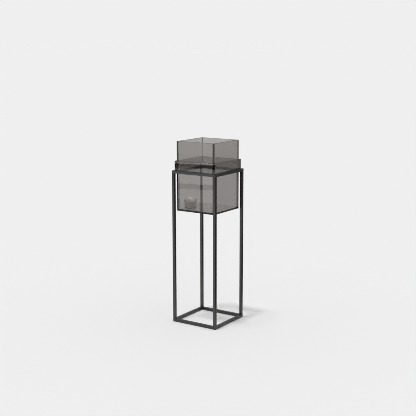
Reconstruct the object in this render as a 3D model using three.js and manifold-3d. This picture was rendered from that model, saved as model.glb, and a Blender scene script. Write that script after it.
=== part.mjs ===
// A floor-standing candle lantern: a slender square-tube frame, and a tall open-topped box of
// smoked glass that hangs in its top ring by a glass collar. A candle in a glass tumbler stands inside.
// Millimetres, +Z up. The origin is on the floor, under the middle of the frame. -Y is the front.
import * as THREE from "three";
import { mergeVertices } from "three/addons/utils/BufferGeometryUtils.js";
import Module from "manifold-3d";

// Driving dimensions.
const FRAME_WIDTH = 280; // outside, along X and along Y
const FRAME_HEIGHT = 843; // floor to the top of the top ring
const TUBE = 15; // outside width of the square tube
const TUBE_WALL = 1.5;
const FOOT_PAD_RADIUS = 6;
const FOOT_PAD_HEIGHT = 1.5; // the pads lift the frame this far off the floor

const BOX_WIDTH = 241; // outside, along X and along Y
const BOX_BOTTOM = 623; // underside of the glass floor
const BOX_TOP = 1000; // rim of the open top
const GLASS = 10; // thickness of the walls and the floor
const GLUE = 0.3; // adhesive line between two panes

const COLLAR_GLASS = 8;
const COLLAR_HEIGHT = 51;
const REST_PAD_HEIGHT = 1; // soft strips between the collar and the top ring
const REST_PAD_LENGTH = 30;
const REST_PAD_WIDTH = 3;

const CANDLE_X = -76; // the tumbler stands near the left wall
const CANDLE_Y = -54;
const TUMBLER_RADIUS = 33;
const TUMBLER_HEIGHT = 46;
const TUMBLER_WALL = 3;
const TUMBLER_FLOOR = 6;
const TUMBLER_HEEL = 4; // radius of the rounded heel
const WAX_HEIGHT = 33;
const WAX_CLEARANCE = 0.3; // between the wax and the tumbler, and between the wax and each wick
const WICK_RADIUS = 1;
const WICK_SPACING = 16; // between the two wicks
const WICK_RISE = 8; // how far a wick stands out of the wax
const ROUND_SEGMENTS = 48;

const blackSteel = new THREE.MeshStandardMaterial({ color: 0x26262a, roughness: 0.55, metalness: 0.35 });
const smokedGlass = new THREE.MeshStandardMaterial({
  color: 0x5a5754,
  roughness: 0.05,
  metalness: 0,
  transparent: true,
  opacity: 0.5,
});
const satinGlass = new THREE.MeshStandardMaterial({
  color: 0xc6c3bf,
  roughness: 0.25,
  metalness: 0,
  transparent: true,
  opacity: 0.4,
});
const softPad = new THREE.MeshStandardMaterial({ color: 0x1b1b1c, roughness: 0.9, metalness: 0 });
const paleWax = new THREE.MeshStandardMaterial({ color: 0xe5e2dd, roughness: 0.45, metalness: 0 });
const cottonWick = new THREE.MeshStandardMaterial({ color: 0x3a342e, roughness: 0.95, metalness: 0 });

const wasm = await Module();
wasm.setup();

const lantern = new THREE.Group();

function addMesh(name, geometry, material, parent) {
  const mesh = new THREE.Mesh(geometry, material);
  mesh.name = name;
  parent.add(mesh);
  return mesh;
}

// A closed geometry as a solid that can be cut.
function solidFrom(geometry) {
  const bare = geometry.clone();
  bare.deleteAttribute("normal");
  bare.deleteAttribute("uv");
  const merged = mergeVertices(bare, 1e-4);
  return new wasm.Manifold(
    new wasm.Mesh({
      numProp: 3,
      vertProperties: merged.attributes.position.array,
      triVerts: new Uint32Array(merged.index.array),
    }),
  );
}

function geometryFrom(solid) {
  const mesh = solid.getMesh();
  const geometry = new THREE.BufferGeometry();
  geometry.setAttribute("position", new THREE.BufferAttribute(mesh.vertProperties, 3));
  geometry.setIndex(new THREE.BufferAttribute(mesh.triVerts, 1));
  return geometry;
}

// A block with its lowest corner at `low` and its highest at `high`.
function blockGeometry(low, high) {
  const size = new THREE.Vector3().subVectors(high, low);
  const middle = new THREE.Vector3().addVectors(low, high).multiplyScalar(0.5);
  return new THREE.BoxGeometry(size.x, size.y, size.z).translate(middle.x, middle.y, middle.z);
}

function squareOutline(half) {
  return [
    new THREE.Vector2(-half, -half),
    new THREE.Vector2(half, -half),
    new THREE.Vector2(half, half),
    new THREE.Vector2(-half, half),
  ];
}

// A hollow square tube along its own Z, open at both ends, centred on the origin.
function squareTubeGeometry(length) {
  const section = new THREE.Shape(squareOutline(TUBE / 2));
  section.holes.push(new THREE.Path(squareOutline(TUBE / 2 - TUBE_WALL)));
  const geometry = new THREE.ExtrudeGeometry(section, { depth: length, bevelEnabled: false });
  return geometry.translate(0, 0, -length / 2);
}

// A rail of a ring, along X at the ring's front, with both ends mitred at 45 degrees.
// The section's own X points out of the ring, so the outer wall is the longest.
function mitredRailGeometry() {
  const geometry = squareTubeGeometry(2);
  const position = geometry.getAttribute("position");
  for (let i = 0; i < position.count; i++) {
    const halfLength = FRAME_WIDTH / 2 - TUBE / 2 + position.getX(i);
    position.setZ(i, Math.sign(position.getZ(i)) * halfLength);
  }
  const outward = new THREE.Vector3(0, -1, 0);
  const upward = new THREE.Vector3(0, 0, 1);
  const along = new THREE.Vector3(-1, 0, 0);
  geometry.applyMatrix4(new THREE.Matrix4().makeBasis(outward, upward, along));
  return geometry.translate(0, TUBE / 2 - FRAME_WIDTH / 2, 0);
}

const SIDES = ["front", "right", "rear", "left"]; // each a quarter turn about Z after the one before
const CORNERS = [
  { name: "front_left", x: -1, y: -1 },
  { name: "front_right", x: 1, y: -1 },
  { name: "rear_right", x: 1, y: 1 },
  { name: "rear_left", x: -1, y: 1 },
];

// The four mitred rails of one ring, whose tubes are centred on the height `z`.
function addRing(prefix, z, parent) {
  const ring = new THREE.Group();
  ring.position.z = z;
  parent.add(ring);
  SIDES.forEach((side, quarter) => {
    const rail = addMesh(`${prefix}_${side}_rail`, mitredRailGeometry(), blackSteel, ring);
    rail.rotation.z = (quarter * Math.PI) / 2;
  });
}

function addFrame() {
  const frame = new THREE.Group();
  lantern.add(frame);
  addRing("base", FOOT_PAD_HEIGHT + TUBE / 2, frame);
  addRing("top", FRAME_HEIGHT - TUBE / 2, frame);

  const legBottom = FOOT_PAD_HEIGHT + TUBE;
  const legTop = FRAME_HEIGHT - TUBE;
  const reach = FRAME_WIDTH / 2 - TUBE / 2; // from the middle of the frame to a leg's axis
  for (const corner of CORNERS) {
    const leg = addMesh(`${corner.name}_leg`, squareTubeGeometry(legTop - legBottom), blackSteel, frame);
    leg.position.set(corner.x * reach, corner.y * reach, (legBottom + legTop) / 2);

    const disc = new THREE.CylinderGeometry(FOOT_PAD_RADIUS, FOOT_PAD_RADIUS, FOOT_PAD_HEIGHT, ROUND_SEGMENTS / 2);
    const pad = addMesh(`${corner.name}_foot_pad`, disc.rotateX(Math.PI / 2), softPad, frame);
    pad.position.set(corner.x * reach, corner.y * reach, FOOT_PAD_HEIGHT / 2);
  }
}

// Four upright panes round a square of outside half-width `outer`, from `bottom` to `top`. The left and
// right panes run the full depth, and the front and rear panes stand between them.
function addPanes(suffix, outer, thickness, bottom, top, parent) {
  const inner = outer - thickness;
  const between = inner - GLUE;
  const spans = {
    left: { x: [-outer, -inner], y: [-outer, outer] },
    right: { x: [inner, outer], y: [-outer, outer] },
    front: { x: [-between, between], y: [-outer, -inner] },
    rear: { x: [-between, between], y: [inner, outer] },
  };
  for (const [side, span] of Object.entries(spans)) {
    const low = new THREE.Vector3(span.x[0], span.y[0], bottom);
    const high = new THREE.Vector3(span.x[1], span.y[1], top);
    addMesh(`${side}_${suffix}`, blockGeometry(low, high), smokedGlass, parent);
  }
}

function addGlassBox() {
  const box = new THREE.Group();
  lantern.add(box);
  const half = BOX_WIDTH / 2;
  const floorTop = BOX_BOTTOM + GLASS;
  const floorLow = new THREE.Vector3(-half, -half, BOX_BOTTOM);
  const floorHigh = new THREE.Vector3(half, half, floorTop);
  addMesh("glass_floor", blockGeometry(floorLow, floorHigh), smokedGlass, box);
  addPanes("glass_wall", half, GLASS, floorTop + GLUE, BOX_TOP, box);

  const collarOuter = half + GLUE + COLLAR_GLASS;
  const collarBottom = FRAME_HEIGHT + REST_PAD_HEIGHT;
  addPanes("collar_strip", collarOuter, COLLAR_GLASS, collarBottom, collarBottom + COLLAR_HEIGHT, box);

  const padLow = new THREE.Vector3(-REST_PAD_LENGTH / 2, -collarOuter, FRAME_HEIGHT);
  const padHigh = new THREE.Vector3(REST_PAD_LENGTH / 2, REST_PAD_WIDTH - collarOuter, collarBottom);
  SIDES.forEach((side, quarter) => {
    const pad = addMesh(`${side}_rest_pad`, blockGeometry(padLow, padHigh), softPad, box);
    pad.rotation.z = (quarter * Math.PI) / 2;
  });
}

// The tumbler's profile, from the axis under the base, round the heel and the rim, to the inside floor.
function tumblerGeometry() {
  const rim = TUMBLER_WALL / 2;
  const inside = TUMBLER_RADIUS - TUMBLER_WALL;
  const outline = new THREE.Path();
  outline.moveTo(0, 0);
  outline.lineTo(TUMBLER_RADIUS - TUMBLER_HEEL, 0);
  outline.absarc(TUMBLER_RADIUS - TUMBLER_HEEL, TUMBLER_HEEL, TUMBLER_HEEL, -Math.PI / 2, 0, false);
  outline.lineTo(TUMBLER_RADIUS, TUMBLER_HEIGHT - rim);
  outline.absarc(TUMBLER_RADIUS - rim, TUMBLER_HEIGHT - rim, rim, 0, Math.PI, false);
  outline.lineTo(inside, TUMBLER_FLOOR);
  outline.lineTo(0, TUMBLER_FLOOR);
  return new THREE.LatheGeometry(outline.getPoints(5), ROUND_SEGMENTS).rotateX(Math.PI / 2);
}

function roundBar(radius, bottom, top, segments) {
  const bar = new THREE.CylinderGeometry(radius, radius, top - bottom, segments);
  return bar.rotateX(Math.PI / 2).translate(0, 0, (bottom + top) / 2);
}

function addCandle() {
  const candle = new THREE.Group();
  candle.position.set(CANDLE_X, CANDLE_Y, BOX_BOTTOM + GLASS);
  lantern.add(candle);
  addMesh("tumbler", tumblerGeometry(), satinGlass, candle);

  const waxTop = TUMBLER_FLOOR + WAX_HEIGHT;
  const waxRadius = TUMBLER_RADIUS - TUMBLER_WALL - WAX_CLEARANCE;
  const wickBottom = TUMBLER_FLOOR + WAX_CLEARANCE;
  let wax = solidFrom(roundBar(waxRadius, wickBottom, waxTop, ROUND_SEGMENTS));
  for (const [name, side] of [["left_wick", -1], ["right_wick", 1]]) {
    const x = (side * WICK_SPACING) / 2;
    const bore = roundBar(WICK_RADIUS + WAX_CLEARANCE, wickBottom - 1, waxTop + 1, 12).translate(x, 0, 0);
    wax = wax.subtract(solidFrom(bore));
    const wick = roundBar(WICK_RADIUS, wickBottom, waxTop + WICK_RISE, 12).translate(x, 0, 0);
    addMesh(name, wick, cottonWick, candle);
  }
  addMesh("wax", geometryFrom(wax), paleWax, candle);
}

addFrame();
addGlassBox();
addCandle();

export default lantern;
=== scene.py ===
"""A floor-standing candle lantern: smoked glass box in a black square-tube frame. Metres, +Z up."""
import math

import bmesh
import bpy
from mathutils import Matrix, Vector


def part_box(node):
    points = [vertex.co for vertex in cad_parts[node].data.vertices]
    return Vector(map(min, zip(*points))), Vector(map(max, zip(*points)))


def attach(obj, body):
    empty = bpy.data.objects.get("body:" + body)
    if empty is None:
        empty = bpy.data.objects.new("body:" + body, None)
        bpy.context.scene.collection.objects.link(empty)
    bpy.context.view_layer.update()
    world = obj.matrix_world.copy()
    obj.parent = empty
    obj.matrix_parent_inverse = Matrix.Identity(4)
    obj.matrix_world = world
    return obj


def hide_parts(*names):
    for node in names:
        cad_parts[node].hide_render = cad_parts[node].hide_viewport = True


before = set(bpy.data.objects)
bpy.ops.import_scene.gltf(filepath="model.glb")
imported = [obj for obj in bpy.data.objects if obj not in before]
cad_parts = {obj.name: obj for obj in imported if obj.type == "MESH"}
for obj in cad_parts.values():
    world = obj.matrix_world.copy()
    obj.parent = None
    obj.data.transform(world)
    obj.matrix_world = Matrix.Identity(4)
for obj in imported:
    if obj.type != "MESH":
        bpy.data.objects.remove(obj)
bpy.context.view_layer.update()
scene = bpy.context.scene

MM = 0.001

# ---------------------------------------------------------------- sizes read from the frame
frame_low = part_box("base_front_rail")[0]
frame_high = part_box("top_rear_rail")[1]
leg_low, leg_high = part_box("front_left_leg")
FRAME_HALF = (frame_high.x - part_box("top_left_rail")[0].x) / 2
FRAME_BOTTOM = frame_low.z
FRAME_TOP = frame_high.z
TUBE = leg_high.x - leg_low.x
LEG_REACH = FRAME_HALF - TUBE / 2
TUMBLER_LOW, TUMBLER_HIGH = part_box("tumbler")
WAX_LOW, WAX_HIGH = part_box("wax")
CANDLE_X = (TUMBLER_LOW.x + TUMBLER_HIGH.x) / 2
CANDLE_Y = (TUMBLER_LOW.y + TUMBLER_HIGH.y) / 2
TUMBLER_RADIUS = (TUMBLER_HIGH.x - TUMBLER_LOW.x) / 2
WAX_RADIUS = (WAX_HIGH.x - WAX_LOW.x) / 2

SIDES = ("front", "right", "rear", "left")
CORNERS = {
    "front_left": (-1, -1),
    "front_right": (1, -1),
    "rear_right": (1, 1),
    "rear_left": (-1, 1),
}

# ---------------------------------------------------------------- camera
CAMERA_AZIMUTH = math.radians(33.98)
CAMERA_ELEVATION = math.radians(10.55)
CAMERA_ROLL = math.radians(-0.09)
CAMERA_DISTANCE = 4.893
CAMERA_LENS = 75.8  # for the default 36 mm sensor
CAMERA_RISE = 0.620  # how far above the origin the view's axis passes, measured in the picture plane
CAMERA_SLIP = -0.0013  # and how far to the right


def add_camera():
    back = Vector((
        math.sin(CAMERA_AZIMUTH) * math.cos(CAMERA_ELEVATION),
        -math.cos(CAMERA_AZIMUTH) * math.cos(CAMERA_ELEVATION),
        math.sin(CAMERA_ELEVATION),
    ))
    level = Vector((math.cos(CAMERA_AZIMUTH), math.sin(CAMERA_AZIMUTH), 0))
    upright = back.cross(level)
    right = math.cos(CAMERA_ROLL) * level + math.sin(CAMERA_ROLL) * upright
    up = back.cross(right)
    data = bpy.data.cameras.new("camera")
    data.lens = CAMERA_LENS
    camera = bpy.data.objects.new("camera", data)
    scene.collection.objects.link(camera)
    turn = Matrix((right, up, back)).transposed().to_4x4()
    place = back * CAMERA_DISTANCE + right * CAMERA_SLIP + up * CAMERA_RISE
    camera.matrix_world = Matrix.Translation(place) @ turn
    scene.camera = camera


# ---------------------------------------------------------------- shader helpers
def new_material(name):
    material = bpy.data.materials.new(name)
    material.use_nodes = True
    return material, material.node_tree, material.node_tree.nodes["Principled BSDF"]


def grey(value):
    return (value, value, value)


def noise(tree, scale, detail, roughness=0.5):
    """A noise texture in object space, whose scale is in features per metre."""
    coordinates = tree.nodes.new("ShaderNodeTexCoord")
    texture = tree.nodes.new("ShaderNodeTexNoise")
    texture.inputs["Scale"].default_value = scale
    texture.inputs["Detail"].default_value = detail
    texture.inputs["Roughness"].default_value = roughness
    tree.links.new(coordinates.outputs["Object"], texture.inputs["Vector"])
    return texture.outputs["Fac"]


def ramp(tree, value, stops):
    """Maps a value to colours; each stop is (position, (r, g, b))."""
    node = tree.nodes.new("ShaderNodeValToRGB")
    elements = node.color_ramp.elements
    while len(elements) < len(stops):
        elements.new(0.5)
    for element, (position, colour) in zip(elements, stops):
        element.position = position
        element.color = (*colour, 1)
    tree.links.new(value, node.inputs["Fac"])
    return node.outputs["Color"]


NOISE_LOW = 0.3  # nearly all of a noise texture's values lie between these
NOISE_HIGH = 0.7


def spread(tree, value, low, high):
    """Maps a noise value to the range low to high."""
    node = tree.nodes.new("ShaderNodeMapRange")
    node.inputs["From Min"].default_value = NOISE_LOW
    node.inputs["From Max"].default_value = NOISE_HIGH
    node.inputs["To Min"].default_value = low
    node.inputs["To Max"].default_value = high
    tree.links.new(value, node.inputs["Value"])
    return node.outputs["Result"]


def maths(tree, operation, value, number):
    node = tree.nodes.new("ShaderNodeMath")
    node.operation = operation
    tree.links.new(value, node.inputs[0])
    node.inputs[1].default_value = number
    return node.outputs["Value"]


def choose(tree, switch, value, number):
    """The value where the switch is 0, and the number where it is 1."""
    node = tree.nodes.new("ShaderNodeMix")
    tree.links.new(switch, node.inputs["Factor"])
    tree.links.new(value, node.inputs["A"])
    node.inputs["B"].default_value = number
    return node.outputs["Result"]


def ray_kind(tree, kind):
    """1 for rays of this kind, and 0 for all others."""
    return tree.nodes.new("ShaderNodeLightPath").outputs[kind]


def blend_surface(tree, share, first, second):
    """Makes the surface the first shader, with this share of the second."""
    mix = tree.nodes.new("ShaderNodeMixShader")
    tree.links.new(share, mix.inputs["Fac"])
    tree.links.new(first, mix.inputs[1])
    tree.links.new(second, mix.inputs[2])
    tree.links.new(mix.outputs["Shader"], tree.nodes["Material Output"].inputs["Surface"])


def set_shade(tree, shader, pattern, dark, light, edge=0.35):
    """Base colour between a dark and a light shade, by a noise pattern."""
    shade = ramp(tree, pattern, [(edge, dark), (1 - edge, light)])
    tree.links.new(shade, shader.inputs["Base Color"])


def set_roughness(tree, shader, pattern, low, high):
    tree.links.new(spread(tree, pattern, low, high), shader.inputs["Roughness"])


def set_bump(tree, shader, height, distance, strength):
    node = tree.nodes.new("ShaderNodeBump")
    node.inputs["Strength"].default_value = strength
    node.inputs["Distance"].default_value = distance
    tree.links.new(height, node.inputs["Height"])
    tree.links.new(node.outputs["Normal"], shader.inputs["Normal"])


# ---------------------------------------------------------------- materials
def powder_coat_material():
    """Fine satin black powder coat: an orange-peel skin with slight changes of shade and gloss."""
    material, tree, shader = new_material("powder_coat")
    set_shade(tree, shader, noise(tree, 35, 4), (0.0085, 0.0085, 0.0095), (0.015, 0.015, 0.0165))
    set_roughness(tree, shader, noise(tree, 60, 4), 0.28, 0.38)
    shader.inputs["Specular IOR Level"].default_value = 0.85
    set_bump(tree, shader, noise(tree, 1400, 2), 0.06 * MM, 0.35)
    return material


SMOKE = (0.47, 0.43, 0.40)  # the tint that the glass takes on as it gets thicker
PANE_DENSITY = 78.0  # how fast each glass darkens, per metre
COLLAR_DENSITY = 122.0
TUMBLER_DENSITY = 60.0
CLEAR_ROUGHNESS = 0.025  # where the smudges on the glass are strongest
SATIN_ROUGHNESS = 0.28
GLASS_IOR = 1.5
LAMP_STOPS = [(0.5, (0.95, 0.95, 0.95)), (0.85, (0.20, 0.19, 0.18))]  # lamp light let through, edge-on last


def smoked_glass_material(name, density, roughest):
    """Glass that darkens with the length of glass looked through. Lamps pass through it, dimmed."""
    material, tree, shader = new_material(name)
    shader.inputs["Base Color"].default_value = (1, 1, 1, 1)
    shader.inputs["Transmission Weight"].default_value = 1
    shader.inputs["IOR"].default_value = GLASS_IOR
    smudges = noise(tree, 18, 5, 0.6)
    set_roughness(tree, shader, smudges, roughest / 4, roughest)
    absorption = tree.nodes.new("ShaderNodeVolumeAbsorption")
    absorption.inputs["Color"].default_value = (*SMOKE, 1)
    absorption.inputs["Density"].default_value = density
    tree.links.new(absorption.outputs["Volume"], tree.nodes["Material Output"].inputs["Volume"])
    facing = tree.nodes.new("ShaderNodeLayerWeight")
    facing.inputs["Blend"].default_value = 0.5
    lamp = tree.nodes.new("ShaderNodeBsdfTransparent")
    tree.links.new(ramp(tree, facing.outputs["Facing"], LAMP_STOPS), lamp.inputs["Color"])
    blend_surface(tree, ray_kind(tree, "Is Shadow Ray"), shader.outputs["BSDF"], lamp.outputs["BSDF"])
    return material


# Painted glow: the wax emits this light itself, in place of the flames' light coming back out of it.
PAINTED_WAX_GLOW = 0.06  # light of the flames that comes back out of the wax
WAX_SCATTER = (6 * MM, 5 * MM, 4 * MM)  # how far red, green and blue light travel inside


def wax_material():
    material, tree, shader = new_material("wax")
    set_shade(tree, shader, noise(tree, 120, 4), (0.76, 0.74, 0.71), (0.84, 0.82, 0.79), edge=0.3)
    set_roughness(tree, shader, noise(tree, 200, 3), 0.3, 0.5)
    shader.inputs["Subsurface Weight"].default_value = 0.35
    shader.inputs["Subsurface Radius"].default_value = WAX_SCATTER
    # painted glow: a faint emission of the wax's own stands in for flame light scattered through it
    shader.inputs["Emission Color"].default_value = (1.0, 0.96, 0.91, 1)
    shader.inputs["Emission Strength"].default_value = PAINTED_WAX_GLOW
    set_bump(tree, shader, noise(tree, 500, 3), 0.2 * MM, 0.3)
    return material


def wick_material():
    """Braided cotton, charred in patches."""
    material, tree, shader = new_material("wick")
    set_shade(tree, shader, noise(tree, 900, 3), (0.02, 0.017, 0.015), (0.10, 0.085, 0.07))
    shader.inputs["Roughness"].default_value = 0.95
    set_bump(tree, shader, noise(tree, 1800, 2), 0.3 * MM, 0.8)
    return material


def rubber_material():
    material, tree, shader = new_material("rubber")
    set_shade(tree, shader, noise(tree, 300, 3), grey(0.014), grey(0.024))
    set_roughness(tree, shader, noise(tree, 400, 3), 0.75, 0.95)
    set_bump(tree, shader, noise(tree, 1500, 3), 0.1 * MM, 0.5)
    return material


def sealant_material(name, dark, light):
    """Silicone, a little uneven in shade between two greys."""
    material, tree, shader = new_material(name)
    set_shade(tree, shader, noise(tree, 150, 3), grey(dark), grey(light))
    set_roughness(tree, shader, noise(tree, 300, 3), 0.35, 0.55)
    return material


FLAME_COLOURS = [(0.0, (1.0, 0.88, 0.76)), (0.4, (1.0, 0.97, 0.92)), (1.0, (1.0, 0.93, 0.85))]
FLAME_CLEARNESS = [(0.0, grey(0.90)), (0.3, grey(0.72)), (0.6, grey(0.72)), (1.0, grey(0.95))]


def flame_material():
    """A clear pale flame, thinnest where it leaves the wick and at its tip."""
    material, tree, shader = new_material("flame")
    tree.nodes.remove(shader)
    coordinates = tree.nodes.new("ShaderNodeTexCoord")
    split = tree.nodes.new("ShaderNodeSeparateXYZ")
    tree.links.new(coordinates.outputs["Generated"], split.inputs["Vector"])
    height = split.outputs["Z"]
    glow = tree.nodes.new("ShaderNodeEmission")
    glow.inputs["Strength"].default_value = 1.0
    tree.links.new(ramp(tree, height, FLAME_COLOURS), glow.inputs["Color"])
    clear = tree.nodes.new("ShaderNodeBsdfTransparent")
    clearness = ramp(tree, height, FLAME_CLEARNESS)
    blend_surface(tree, clearness, glow.outputs["Emission"], clear.outputs["BSDF"])
    return material


# ---------------------------------------------------------------- mesh helpers
CREASE = math.radians(40)  # sharper edges than this are shaded as edges
BEVEL_ANGLE = math.radians(50)  # and sharper ones than this are rounded off


def mesh_object(name, vertices, faces, material, crease=CREASE):
    mesh = bpy.data.meshes.new(name)
    mesh.from_pydata([tuple(v) for v in vertices], [], faces)
    mesh.materials.append(material)
    obj = bpy.data.objects.new(name, mesh)
    scene.collection.objects.link(obj)
    work = bmesh.new()
    work.from_mesh(mesh)
    bmesh.ops.recalc_face_normals(work, faces=work.faces)
    work.to_mesh(mesh)
    work.free()
    mesh.shade_smooth()
    mesh.set_sharp_from_angle(angle=crease)
    return obj


def add_bevel(obj, width):
    modifier = obj.modifiers.new("bevel", "BEVEL")
    modifier.width = width
    modifier.segments = 2
    modifier.limit_method = "ANGLE"
    modifier.angle_limit = BEVEL_ANGLE


def arc(centre_r, centre_z, radius, start, end, steps):
    """Points on an arc from one angle to another, in degrees."""
    points = []
    for step in range(steps + 1):
        angle = math.radians(start + (end - start) * step / steps)
        points.append((centre_r + radius * math.cos(angle), centre_z + radius * math.sin(angle)))
    return points


def rounded_square(half, radius, steps):
    """Points round a square with rounded corners, anticlockwise, as (x, y)."""
    points = []
    for corner in range(4):
        centre_x = (half - radius) * (1 if corner in (0, 3) else -1)
        centre_y = (half - radius) * (1 if corner in (0, 1) else -1)
        points += arc(centre_x, centre_y, radius, 90 * corner, 90 * corner + 90, steps)
    return points


def loft(rings, closed):
    """Faces between successive rings of equal length; with closed, the last ring meets the first."""
    count = len(rings[0])
    faces = []
    last = len(rings) if closed else len(rings) - 1
    for r in range(last):
        here = r * count
        there = ((r + 1) % len(rings)) * count
        for i in range(count):
            j = (i + 1) % count
            faces.append((here + i, here + j, there + j, there + i))
    return faces


def ring_object(name, rings, material):
    """A tube through the rings that comes back to where it starts."""
    vertices = [v for ring in rings for v in ring]
    return mesh_object(name, vertices, loft(rings, closed=True), material)


def capped_object(name, rings, material, crease=CREASE):
    """A tube through the rings, with a flat cap on each end."""
    vertices = [v for ring in rings for v in ring]
    count = len(rings[0])
    faces = loft(rings, closed=False)
    faces.append(tuple(range(count)))
    faces.append(tuple(range(len(vertices) - count, len(vertices))))
    return mesh_object(name, vertices, faces, material, crease)


ROUND = 96  # points round a turned piece


def turned(name, outline, material, centre, crease):
    """A body of revolution from an outline of (radius, height) whose ends lie on the axis."""
    vertices = []
    rings = []
    for radius, height in outline:
        if radius == 0:
            rings.append([len(vertices)])
            vertices.append(centre + Vector((0, 0, height)))
            continue
        rings.append(list(range(len(vertices), len(vertices) + ROUND)))
        for i in range(ROUND):
            angle = 2 * math.pi * i / ROUND
            vertices.append(centre + Vector((radius * math.cos(angle), radius * math.sin(angle), height)))
    faces = []
    for lower, upper in zip(rings, rings[1:]):
        for i in range(ROUND):
            j = (i + 1) % ROUND
            if len(lower) == 1:
                faces.append((lower[0], upper[j], upper[i]))
            elif len(upper) == 1:
                faces.append((lower[i], lower[j], upper[0]))
            else:
                faces.append((lower[i], lower[j], upper[j], upper[i]))
    return mesh_object(name, vertices, faces, material, crease)


# ---------------------------------------------------------------- steel frame
TUBE_CORNER = 1.4 * MM  # outer corner radius of the square tube
TUBE_MITRE = 0.5 * MM  # rounding of the mitred corners
LEG_END = 0.6 * MM  # rounding of the legs' ends
CORNER_STEPS = 4
FLUSH = 0.02 * MM  # the legs run this far inside the faces of the rings


def ring_tube(name, z, material):
    """A square ring of rounded square tube with mitred corners, its tube centred on the height z."""
    profile = rounded_square(TUBE / 2, TUBE_CORNER, CORNER_STEPS)
    rings = []
    for x, y in CORNERS.values():
        corner = [Vector((x * (LEG_REACH + out), y * (LEG_REACH + out), z + up)) for out, up in profile]
        rings.append(corner)
    ring = ring_object(name, rings, material)
    add_bevel(ring, TUBE_MITRE)
    return ring


def leg_tube(name, x, y, bottom, top, material):
    """An upright rounded square tube with closed, softly rounded ends."""
    half = TUBE / 2 - FLUSH
    profile = rounded_square(half, TUBE_CORNER, CORNER_STEPS)
    stations = []
    for step in range(CORNER_STEPS + 1):
        angle = step * math.pi / 2 / CORNER_STEPS
        inset = LEG_END * (1 - math.sin(angle))
        stations.append((bottom + LEG_END * (1 - math.cos(angle)), inset))
    stations += [(top + bottom - z, inset) for z, inset in reversed(stations)]
    rings = []
    for z, inset in stations:
        shrink = (half - inset) / half
        rings.append([Vector((x + px * shrink, y + py * shrink, z)) for px, py in profile])
    return capped_object(name, rings, material)


def add_steel_frame(material):
    for prefix, z in (("base", FRAME_BOTTOM + TUBE / 2), ("top", FRAME_TOP - TUBE / 2)):
        ring = ring_tube(f"{prefix}_ring", z, material)
        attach(ring, "frame")
        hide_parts(*[f"{prefix}_{side}_rail" for side in SIDES])
    bottom = FRAME_BOTTOM + FLUSH
    top = FRAME_TOP - FLUSH
    for corner, (x, y) in CORNERS.items():
        leg = leg_tube(f"{corner}_tube", x * LEG_REACH, y * LEG_REACH, bottom, top, material)
        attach(leg, "frame")
        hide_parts(f"{corner}_leg")


# ---------------------------------------------------------------- glass box and pads
GLASS_ARRIS = 0.5 * MM  # ground-off edge of each pane
PAD_EDGE = 0.3 * MM
SEAM_PLAY = 0.03 * MM  # kept clear between the sealant and the glass
SEAM_RECESS = 0.5 * MM  # the films end this far inside the outer faces
BEAD = 1.6 * MM  # size of the bead of sealant in each inner corner
# Partly the film's own pale grey, partly painted light: the film is made paler to show the bright strip
# that light makes along the joints.
FILM_AND_PAINTED_LIGHT_SHADES = (0.72, 0.84)
BEAD_SHADES = (0.010, 0.018)


def dress_node(name, material, bevel_width):
    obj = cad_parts[name]
    obj.data.materials.clear()
    obj.data.materials.append(material)
    add_bevel(obj, bevel_width)


def dress_glass_box(pane, collar):
    dress_node("glass_floor", pane, GLASS_ARRIS)
    for side in SIDES:
        dress_node(f"{side}_glass_wall", pane, GLASS_ARRIS)
        dress_node(f"{side}_collar_strip", collar, GLASS_ARRIS)


def dress_pads(rubber):
    for side in SIDES:
        dress_node(f"{side}_rest_pad", rubber, PAD_EDGE)
    for corner in CORNERS:
        dress_node(f"{corner}_foot_pad", rubber, PAD_EDGE)


def upright_piece(name, outline, bottom, top, material):
    """A piece of the glass box with one section, (x, y) points in order, from bottom to top."""
    rings = [[Vector((x, y, z)) for x, y in outline] for z in (bottom, top)]
    piece = capped_object(name, rings, material)
    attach(piece, "glass_box")


def add_seams(film, bead):
    """An adhesive film in each upright corner joint of the box, and a concave bead in each inner corner."""
    side_low, side_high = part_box("right_glass_wall")
    rear_low, rear_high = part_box("rear_glass_wall")
    near = rear_high.x + SEAM_PLAY
    far = side_low.x - SEAM_PLAY
    end = rear_high.y - SEAM_RECESS
    film_outline = [(near, rear_low.y), (far, rear_low.y), (far, end), (near, end)]
    face = rear_low.y - SEAM_PLAY
    bead_outline = arc(far - BEAD, face - BEAD, BEAD, 0, 90, 6) + [(far, face)]
    bottom = side_low.z + SEAM_RECESS
    top = side_high.z - SEAM_RECESS
    for corner, (x, y) in CORNERS.items():
        for kind, outline, material in (("film", film_outline, film), ("bead", bead_outline, bead)):
            placed = [(x * px, y * py) for px, py in outline]
            upright_piece(f"{corner}_{kind}", placed, bottom, top, material)


# ---------------------------------------------------------------- tumbler and wax
TUMBLER_WALL = 2.6 * MM
TUMBLER_SOLE = 6.0 * MM
TUMBLER_HEEL = 4.5 * MM
TUMBLER_TAPER = 0.6 * MM  # the foot is this much narrower than the rim, in radius
TUMBLER_PUNT = 0.8 * MM  # the underside is hollowed this far
TUMBLER_STAND = 9 * MM  # width of the heel and the ring it stands on
INNER_HEEL = 3 * MM  # rounding inside the tumbler, and of the wax in it
POOL_DEPTH = 1.6 * MM  # how far the melt pool lies below the wax's edge
POOL_EDGE = 0.3 * MM  # width of the wax's edge round the pool
WAX_PLAY = 0.2 * MM  # kept clear at the wax's heel and rim


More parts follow.
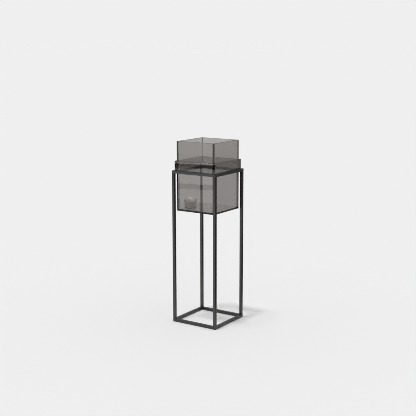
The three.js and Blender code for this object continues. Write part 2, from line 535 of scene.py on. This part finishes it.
def add_tumbler(material):
    height = TUMBLER_HIGH.z - TUMBLER_LOW.z
    foot = TUMBLER_RADIUS - TUMBLER_TAPER
    lip = TUMBLER_WALL / 2
    inner_foot = foot - TUMBLER_WALL
    outline = [(0, TUMBLER_PUNT), (foot - TUMBLER_STAND, TUMBLER_PUNT)]
    outline += arc(foot - TUMBLER_HEEL, TUMBLER_HEEL, TUMBLER_HEEL, -90, 0, 8)
    outline += arc(TUMBLER_RADIUS - lip, height - lip, lip, 0, 180, 10)
    outline += arc(inner_foot - INNER_HEEL, TUMBLER_SOLE + INNER_HEEL, INNER_HEEL, 0, -90, 6)
    outline += [(0, TUMBLER_SOLE)]
    base = Vector((CANDLE_X, CANDLE_Y, TUMBLER_LOW.z))
    tumbler = turned("candle_tumbler", outline, material, base, math.radians(35))
    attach(tumbler, "candle")
    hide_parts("tumbler")


def add_wax(material):
    """Wax with a meniscus at the glass and a shallow melt pool."""
    top = WAX_HIGH.z - WAX_LOW.z
    radius = WAX_RADIUS - TUMBLER_TAPER
    outline = [(0, WAX_PLAY / 2)]
    outline += arc(radius - INNER_HEEL, INNER_HEEL + WAX_PLAY, INNER_HEEL, -90, 0, 6)
    outline += [(radius, top - WAX_PLAY)]
    steps = 14
    for step in range(steps + 1):
        across = 1 - step / steps
        outline.append(((radius - POOL_EDGE) * across, top - POOL_DEPTH * (1 - across ** 6)))
    base = Vector((CANDLE_X, CANDLE_Y, WAX_LOW.z))
    wax = turned("wax_fill", outline, material, base, math.radians(60))
    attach(wax, "candle")
    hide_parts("wax")


# ---------------------------------------------------------------- wicks and flames
WICK_THICKNESS = 1.0 * MM  # radius
WICK_BEND = 2.2 * MM  # how far the tip leans over
WICK_ROOT = 4 * MM  # how far the wick starts below the top of the wax
WICK_POINTS = 12  # points round a wick
WICK_TWIST = 2.5  # radians from root to tip
WICK_KNOTS = 7  # swellings of the braid along it
KNOT_DEPTH = 0.1  # the wick's radius shrinks by up to twice this share between them
WICK_STRANDS = 3
STRAND_DEPTH = 0.1  # how far each strand stands proud, as a share of the radius
TIP_TAPER = 0.35  # how much of the radius the burnt tip has lost
FLAMES = {"left_wick": 22 * MM, "right_wick": 18 * MM}  # height of each flame
FLAME_SWELL = 9.84 * MM  # scale of the teardrop's radius, whose widest is 0.4 of this
FLAME_OVERLAP = 3 * MM  # how far the flame starts below the tip
FLAME_LEAN = 0.6  # the flame stands over this share of the wick's bend


def add_wick(node, material):
    """A braided wick that leans over a little at its tip. Returns where its flame stands."""
    low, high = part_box(node)
    centre_x = (low.x + high.x) / 2
    centre_y = (low.y + high.y) / 2
    start = WAX_HIGH.z - WICK_ROOT
    steps = 14
    rings = []
    for step in range(steps + 1):
        along = step / steps
        lean = WICK_BEND * along ** 3
        knot = math.cos(along * 2 * math.pi * WICK_KNOTS)
        swell = WICK_THICKNESS * (1 - KNOT_DEPTH + KNOT_DEPTH * knot)
        swell *= 1 - TIP_TAPER * along ** 8
        ring = []
        for i in range(WICK_POINTS):
            turn = 2 * math.pi * i / WICK_POINTS
            radius = swell * (1 + STRAND_DEPTH * math.cos(WICK_STRANDS * turn))
            angle = turn + along * WICK_TWIST
            ring.append(Vector((
                centre_x + lean + radius * math.cos(angle),
                centre_y + radius * math.sin(angle),
                start + (high.z - start) * along,
            )))
        rings.append(ring)
    wick = capped_object(f"{node}_braid", rings, material, math.radians(70))
    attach(wick, "candle")
    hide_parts(node)
    return Vector((centre_x + WICK_BEND * FLAME_LEAN, centre_y, high.z))


def add_flame(name, tip, height, material):
    """A teardrop flame that starts a little below the wick's tip."""
    steps = 20
    outline = [(0, 0)]
    for step in range(1, steps):
        along = step / steps
        outline.append((FLAME_SWELL * math.sqrt(along) * (1 - along) ** 0.9, height * along))
    outline.append((0, height))
    flame = turned(name, outline, material, tip - Vector((0, 0, FLAME_OVERLAP)), math.radians(80))
    flame.visible_shadow = False
    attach(flame, "candle")


def add_wicks_and_flames(wick, flame):
    for node, height in FLAMES.items():
        tip = add_wick(node, wick)
        add_flame(node.replace("wick", "flame"), tip, height, flame)


# ---------------------------------------------------------------- stage
FLOOR_REACH = 400  # half the floor's width
FLOOR_ALBEDO = 0.90
FLOOR_LIGHT = 0.863  # how bright the open floor and the backdrop are
BEHIND_GLASS = 0.63  # and how bright they are where glass stands before them

# Black flags at the right-hand side keep the right faces of the frame dark, but for a card low on them.
FLAG_NEAR = 0.30  # the flag on the floor starts here, along X
FLAG_FAR = 2.2  # and meets the upright one here
FLAG_FRONT = -3.0  # both run from here to there along Y
FLAG_BACK = 10.0
FLAG_TALL = 5.0
FLAG_SHADE = 0.01
CARD_X = 1.6
CARD_FRONT = 1.6
CARD_BACK = 2.8
CARD_TALL = 0.85
CARD_GLOW = 0.5

# The front faces mirror a lit floor with two dark gaps across it. Each strip: where it starts and ends,
# and its glow.
FRONT_FLOOR = {
    "near_floor": (3.30, 4.39, 1.35),
    "near_gap": (4.39, 4.73, 0.0),
    "middle_floor": (4.73, 5.60, 1.60),
    "dim_floor": (5.60, 5.88, 1.20),
    "far_gap": (5.88, 6.29, 0.0),
    "bright_edge": (6.29, 6.40, 3.3),
    "far_floor": (6.40, 13.90, 1.3),
}
FRONT_BEARING = math.radians(-14.9)  # the way the strips run, from +X
FRONT_MIDDLE = -2.0  # where their middles lie along it
FRONT_REACH = 7.0  # half their length
FLAG_LIFT = 1 * MM  # how far the flag and the strips lie above the floor
STRIP_LIFT = 2 * MM


def matt_material(name, shade):
    material, tree, shader = new_material(name)
    shader.inputs["Base Color"].default_value = (*grey(shade), 1)
    shader.inputs["Roughness"].default_value = 1.0
    return material, tree, shader


def flag_material():
    return matt_material("flag_cloth", FLAG_SHADE)[0]


def floor_material():
    """Matt white paint, with an even tone of its own where it is seen through glass."""
    material, tree, paint = matt_material("floor_paint", FLOOR_ALBEDO)
    material.cycles.emission_sampling = "NONE"
    paint.inputs["Specular IOR Level"].default_value = 0
    glow = tree.nodes.new("ShaderNodeEmission")
    glow.inputs["Strength"].default_value = BEHIND_GLASS
    through_glass = ray_kind(tree, "Is Transmission Ray")
    blend_surface(tree, through_glass, paint.outputs["BSDF"], glow.outputs["Emission"])
    return material


def glowing_material(name, strength):
    """An even glow that is found by reflections alone, which leaves less grain."""
    material, tree, shader = new_material(name)
    material.cycles.emission_sampling = "NONE"
    tree.nodes.remove(shader)
    glow = tree.nodes.new("ShaderNodeEmission")
    glow.inputs["Strength"].default_value = strength
    tree.links.new(glow.outputs["Emission"], tree.nodes["Material Output"].inputs["Surface"])
    return material


def quad(name, corners, material):
    mesh = bpy.data.meshes.new(name)
    mesh.from_pydata([tuple(c) for c in corners], [], [(0, 1, 2, 3)])
    mesh.materials.append(material)
    obj = bpy.data.objects.new(name, mesh)
    scene.collection.objects.link(obj)
    return obj


def mirrored_quad(name, corners, material):
    """A quad that only reflections see."""
    obj = quad(name, corners, material)
    obj.visible_camera = False
    obj.visible_diffuse = False
    obj.visible_transmission = False
    obj.visible_shadow = False
    obj.visible_volume_scatter = False


def level_quad(near, far, front, back, z):
    return [(near, front, z), (far, front, z), (far, back, z), (near, back, z)]


def upright_quad(x, front, back, tall):
    return [(x, front, 0), (x, back, 0), (x, back, tall), (x, front, tall)]


def front_strip(close, away):
    """The corners of a strip across the floor in front, between two distances from the lantern."""
    along = Vector((math.cos(FRONT_BEARING), math.sin(FRONT_BEARING), 0))
    out = Vector((along.y, -along.x, 0))
    lift = Vector((0, 0, STRIP_LIFT))
    start = along * (FRONT_MIDDLE - FRONT_REACH) + lift
    end = along * (FRONT_MIDDLE + FRONT_REACH) + lift
    return [start + out * away, end + out * away, end + out * close, start + out * close]


def add_stage():
    floor = level_quad(-FLOOR_REACH, FLOOR_REACH, -FLOOR_REACH, FLOOR_REACH, 0)
    quad("floor", floor, floor_material())
    black = flag_material()
    mirrored_quad("side_flag", upright_quad(FLAG_FAR, FLAG_FRONT, FLAG_BACK, FLAG_TALL), black)
    foot = level_quad(FLAG_NEAR, FLAG_FAR, FLAG_FRONT, FLAG_BACK, FLAG_LIFT)
    mirrored_quad("side_flag_foot", foot, black)
    card = upright_quad(CARD_X, CARD_FRONT, CARD_BACK, CARD_TALL)
    mirrored_quad("side_card", card, glowing_material("side_card", CARD_GLOW))
    for name, (close, away, glow) in FRONT_FLOOR.items():
        mirrored_quad(name, front_strip(close, away), glowing_material(name, glow))


# ---------------------------------------------------------------- light
OVERHEAD = 0.7  # how strongly the sky gathers overhead: it fades as this power of the height
# Each key light: its share of the floor's light, then, in degrees, its tilt from straight down, the way
# it comes from and its size.
KEYS = {
    "key": (0.235, 11.7, 255.5, 4.8),
    "side_key": (0.09, 15.4, 227, 8),
}


def add_sky(strength):
    """A soft sky, brightest overhead; the camera and the glass see even backdrops instead."""
    world = bpy.data.worlds.new("studio")
    world.use_nodes = True
    scene.world = world
    tree = world.node_tree
    background = tree.nodes["Background"]
    background.inputs["Color"].default_value = (1, 1, 1, 1)
    direction = tree.nodes.new("ShaderNodeTexCoord")
    split = tree.nodes.new("ShaderNodeSeparateXYZ")
    tree.links.new(direction.outputs["Generated"], split.inputs["Vector"])
    above = maths(tree, "MAXIMUM", split.outputs["Z"], 0.0)
    fade = maths(tree, "POWER", above, OVERHEAD)
    # The floor gets the same light whatever the power.
    sky = maths(tree, "MULTIPLY", fade, strength * (OVERHEAD + 2) / 2)
    behind = choose(tree, ray_kind(tree, "Is Transmission Ray"), sky, BEHIND_GLASS)
    seen = choose(tree, ray_kind(tree, "Is Camera Ray"), behind, FLOOR_LIGHT)
    tree.links.new(seen, background.inputs["Strength"])


def add_key(name, strength, tilt, side, size):
    sun = bpy.data.lights.new(name, "SUN")
    sun.energy = strength * math.pi / math.cos(tilt)
    sun.angle = size
    key = bpy.data.objects.new(name, sun)
    scene.collection.objects.link(key)
    towards = Vector((math.sin(tilt) * math.cos(side), math.sin(tilt) * math.sin(side), math.cos(tilt)))
    key.rotation_mode = "QUATERNION"
    key.rotation_quaternion = towards.to_track_quat("Z", "Y")


def add_light():
    total = FLOOR_LIGHT / FLOOR_ALBEDO
    left = 1.0
    for name, (share, tilt, side, size) in KEYS.items():
        add_key(name, total * share, math.radians(tilt), math.radians(side), math.radians(size))
        left -= share
    add_sky(total * left)


def set_look():
    scene.view_settings.view_transform = "Standard"
    scene.cycles.filter_width = 0.85
    scene.cycles.max_bounces = 32
    scene.cycles.transmission_bounces = 32
    scene.cycles.glossy_bounces = 12
    scene.cycles.transparent_max_bounces = 32


# ---------------------------------------------------------------- the scene
add_camera()
set_look()
add_stage()
add_light()
add_steel_frame(powder_coat_material())
dress_glass_box(
    smoked_glass_material("smoked_glass", PANE_DENSITY, CLEAR_ROUGHNESS),
    smoked_glass_material("collar_glass", COLLAR_DENSITY, CLEAR_ROUGHNESS),
)
dress_pads(rubber_material())
add_seams(sealant_material("grey_sealant", *FILM_AND_PAINTED_LIGHT_SHADES), sealant_material("black_sealant", *BEAD_SHADES))
add_tumbler(smoked_glass_material("tumbler_glass", TUMBLER_DENSITY, SATIN_ROUGHNESS))
add_wax(wax_material())
add_wicks_and_flames(wick_material(), flame_material())
